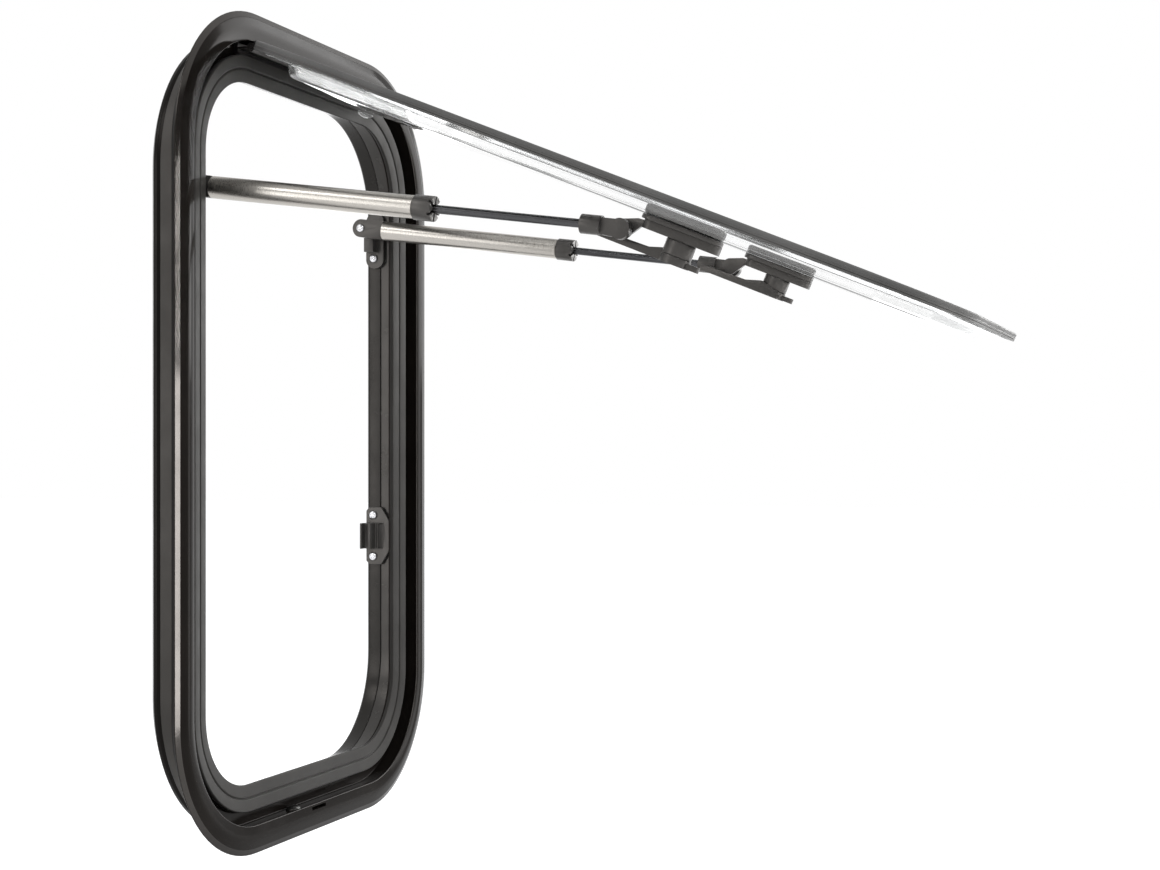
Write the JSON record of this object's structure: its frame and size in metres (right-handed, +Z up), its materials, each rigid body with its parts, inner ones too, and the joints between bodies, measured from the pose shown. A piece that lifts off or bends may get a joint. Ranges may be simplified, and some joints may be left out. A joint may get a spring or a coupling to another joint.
{
  "type": "caravan window",
  "caption": "Top-hung caravan window: round-cornered black frame, domed double acrylic sash held open by telescopic stays, with turning latches and keepers.",
  "frame": {"origin": "middle of the flange back face at the bottom centre, on the wall's outer face", "axes": "+X along the width, +Y into the vehicle, +Z up"},
  "size_m": [0.4692, 0.6592, 0.7242],
  "materials": {
    "frame_black": "gloss",
    "seal_rubber": "matt",
    "hinge_black": "satin",
    "tinted_acrylic": "gloss",
    "clear_acrylic": "gloss",
    "rim_grey": "satin",
    "latch_plastic": "satin",
    "stainless": "brushed",
    "rod_steel": "polished",
    "screw_zinc": "bright"
  },
  "bodies": {
    "frame": {"outer_frame": "frame_black", "sash_seal": "seal_rubber", "wall_seal": "seal_rubber", "inner_clamp": "frame_black", "hinge_rail": "hinge_black", "left_stay_bracket": "latch_plastic", "left_pivot_screw": "screw_zinc", "left_bracket_screw": "screw_zinc", "left_keeper": "latch_plastic", "left_keeper_screws": "screw_zinc", "right_stay_bracket": "latch_plastic", "right_pivot_screw": "screw_zinc", "right_bracket_screw": "screw_zinc", "right_keeper": "latch_plastic", "right_keeper_screws": "screw_zinc"},
    "sash": {"outer_pane": "tinted_acrylic", "inner_pane": "clear_acrylic", "sash_rim": "rim_grey", "hinge_profile": "hinge_black", "vent_plug": "clear_acrylic", "left_latch_spacer": "latch_plastic", "left_latch_base": "latch_plastic", "left_latch_bracket": "latch_plastic", "right_latch_spacer": "latch_plastic", "right_latch_base": "latch_plastic", "right_latch_bracket": "latch_plastic"},
    "left_lever": {"left_latch_boss": "latch_plastic", "left_latch_lever": "latch_plastic"},
    "left_barrel": {"left_stay_end": "latch_plastic", "left_stay_tube": "stainless", "left_stay_collar": "latch_plastic"},
    "left_rod": {"left_stay_rod": "rod_steel", "left_rod_end": "latch_plastic"},
    "right_lever": {"right_latch_boss": "latch_plastic", "right_latch_lever": "latch_plastic"},
    "right_barrel": {"right_stay_end": "latch_plastic", "right_stay_tube": "stainless", "right_stay_collar": "latch_plastic"},
    "right_rod": {"right_stay_rod": "rod_steel", "right_rod_end": "latch_plastic"}
  },
  "joints": [
    {"name": "sash_hinge", "type": "hinge", "parent": "frame", "child": "sash", "pos_m": [0, -0.003, 0.685], "axis": [1, 0, 0], "range_deg": [0, 67.7]},
    {"name": "left_stay_pivot", "type": "hinge", "parent": "frame", "child": "left_barrel", "pos_m": [-0.1605, 0.0325, 0.5637], "axis": [1, 0, 0], "range_deg": [0, 80.89]},
    {"name": "left_stay_slide", "type": "slide", "parent": "left_barrel", "child": "left_rod", "axis": [0, -0.9909, -0.135], "range_m": [-0.1208, 0]},
    {"name": "left_latch_turn", "type": "hinge", "parent": "sash", "child": "left_lever", "pos_m": [-0.151, -0.39577, 0.49365], "axis": [0, 0.3795, -0.9252], "range_deg": [0, 85]},
    {"name": "right_stay_pivot", "type": "hinge", "parent": "frame", "child": "right_barrel", "pos_m": [0.1605, 0.0325, 0.5637], "axis": [1, 0, 0], "range_deg": [0, 80.89]},
    {"name": "right_stay_slide", "type": "slide", "parent": "right_barrel", "child": "right_rod", "axis": [0, -0.9909, -0.135], "range_m": [-0.1208, 0]},
    {"name": "right_latch_turn", "type": "hinge", "parent": "sash", "child": "right_lever", "pos_m": [0.151, -0.39577, 0.49365], "axis": [0, -0.3795, 0.9252], "range_deg": [0, 85]}
  ],
  "couplings": [
    {"joint": "left_stay_pivot", "follows": "sash_hinge", "ratio": 1.1919},
    {"joint": "left_stay_slide", "follows": "sash_hinge", "m_per_rad": -0.10195},
    {"joint": "right_stay_pivot", "follows": "sash_hinge", "ratio": 1.1919},
    {"joint": "right_stay_slide", "follows": "sash_hinge", "m_per_rad": -0.10195}
  ]
}
